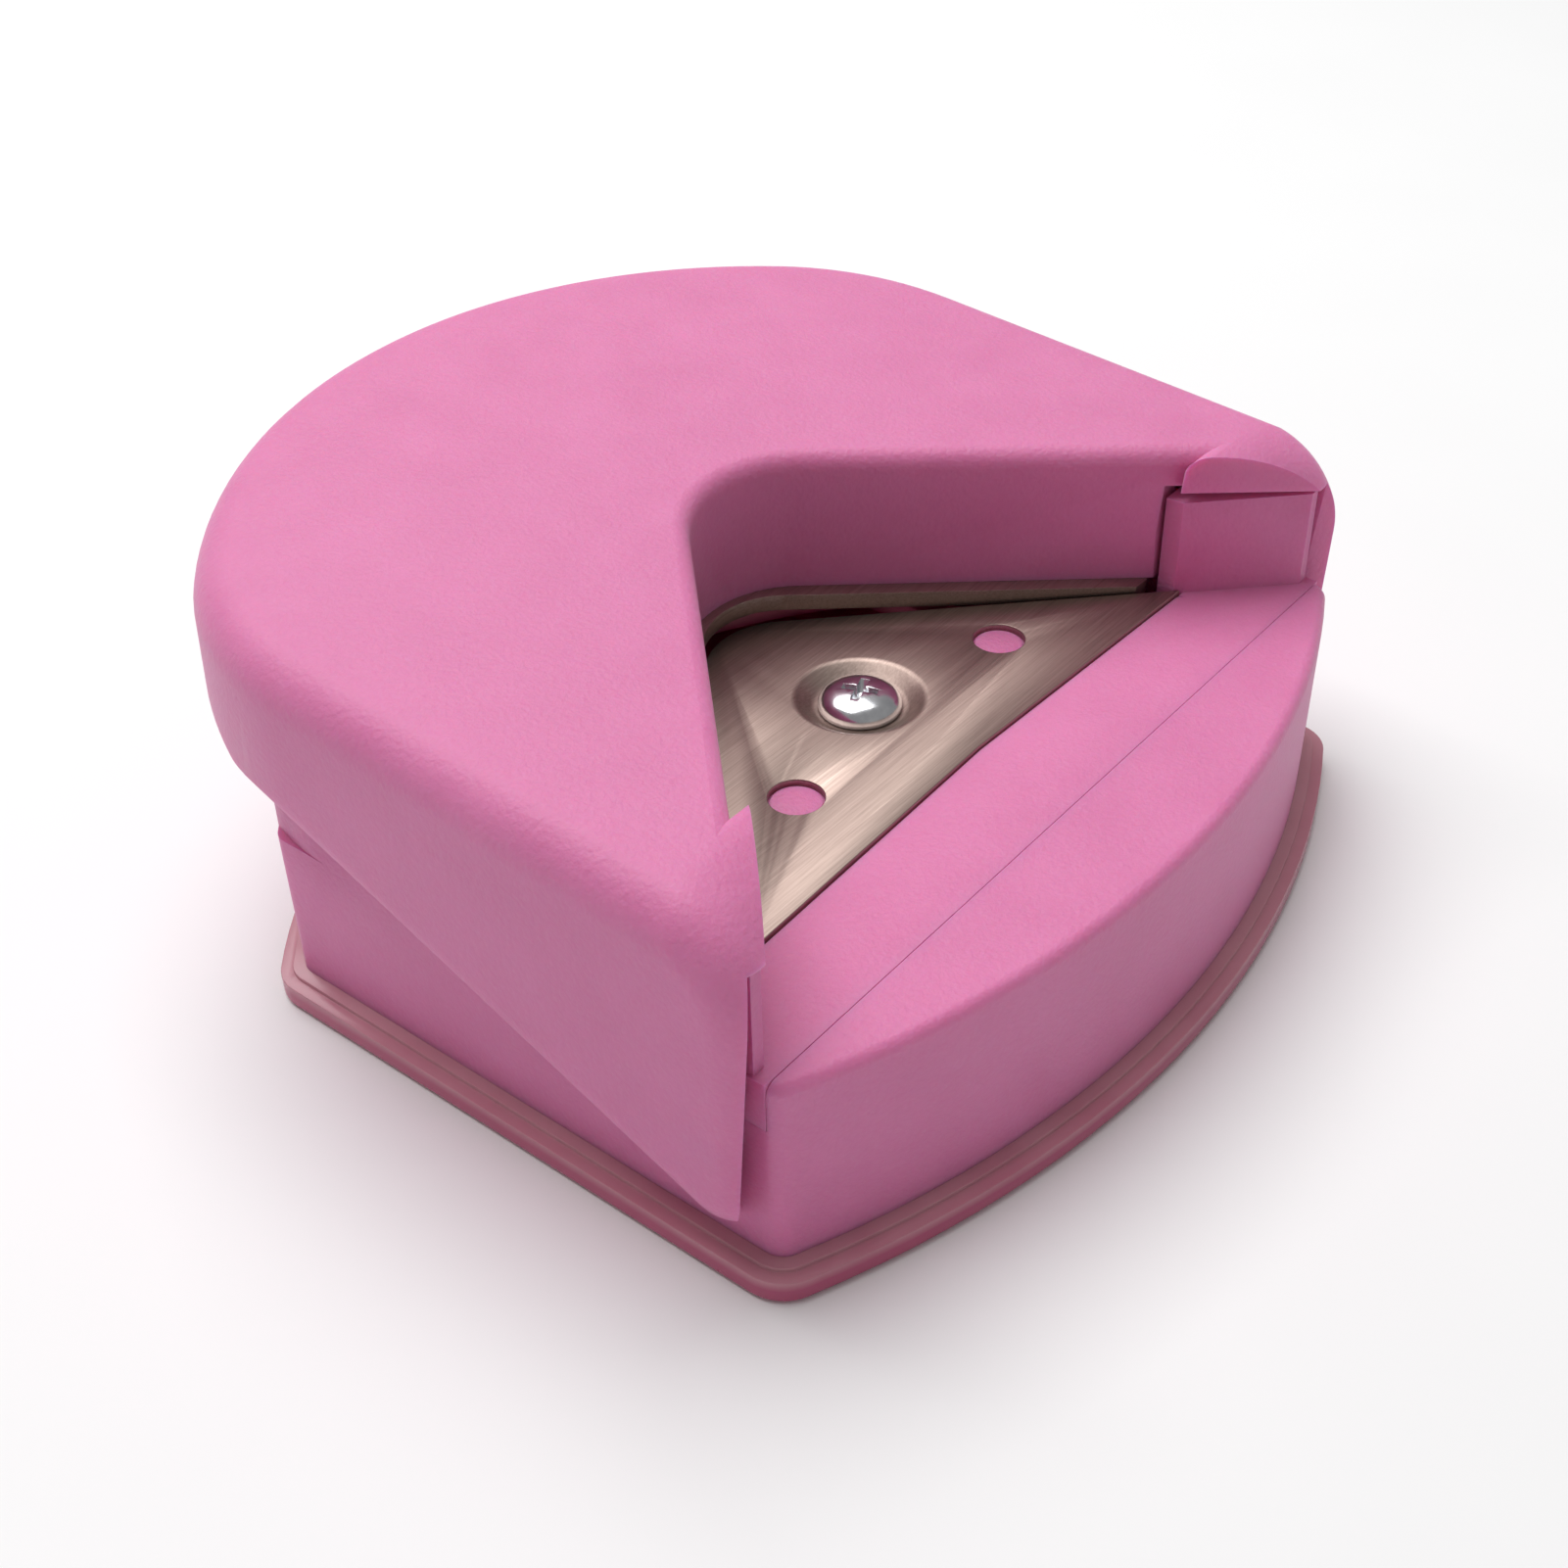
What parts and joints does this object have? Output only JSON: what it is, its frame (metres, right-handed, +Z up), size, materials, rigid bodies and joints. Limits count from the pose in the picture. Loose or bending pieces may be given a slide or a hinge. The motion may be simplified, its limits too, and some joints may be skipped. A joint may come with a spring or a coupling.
{
  "type": "corner rounder",
  "caption": "Hand-held corner rounding punch: a thumb lever with a V notch presses a V blade past a fixed steel plate over a waste tray.",
  "frame": {"origin": "middle of the flat underside of the waste tray, on the symmetry plane", "axes": "+Z up from the table through the lever, +Y towards the broad thumb end of the lever, +X to the right seen from the paper side"},
  "size_m": [0.06, 0.0615, 0.027],
  "materials": {
    "pink_plastic": "fine sand texture",
    "tray_plastic": "smoky translucent gloss",
    "blade_steel": "fine ground",
    "screw_zinc": "bright zinc plate",
    "spring_steel": "drawn wire"
  },
  "bodies": {
    "base": {"base_body": "pink_plastic", "deck_insert": "pink_plastic", "lower_blade": "blade_steel", "blade_screw": "screw_zinc", "base_screws": "screw_zinc", "pivot_rod": "spring_steel", "return_spring": "spring_steel"},
    "lever": {"lever_cap": "pink_plastic", "upper_blade": "blade_steel", "upper_blade_screws": "screw_zinc"},
    "tray": {"waste_tray": "tray_plastic"}
  },
  "joints": [
    {"name": "lever_press", "type": "hinge", "parent": "base", "child": "lever", "pos_m": [0, -0.0168, 0.009], "axis": [-1, 0, 0], "range_deg": [0, 6], "stiffness_Nm_per_rad": 1.7, "springref_deg": -5.73, "deforming": ["return_spring"]},
    {"name": "tray_pull", "type": "slide", "parent": "base", "child": "tray", "axis": [0, 0, -1], "range_m": [0, 0.008]}
  ]
}
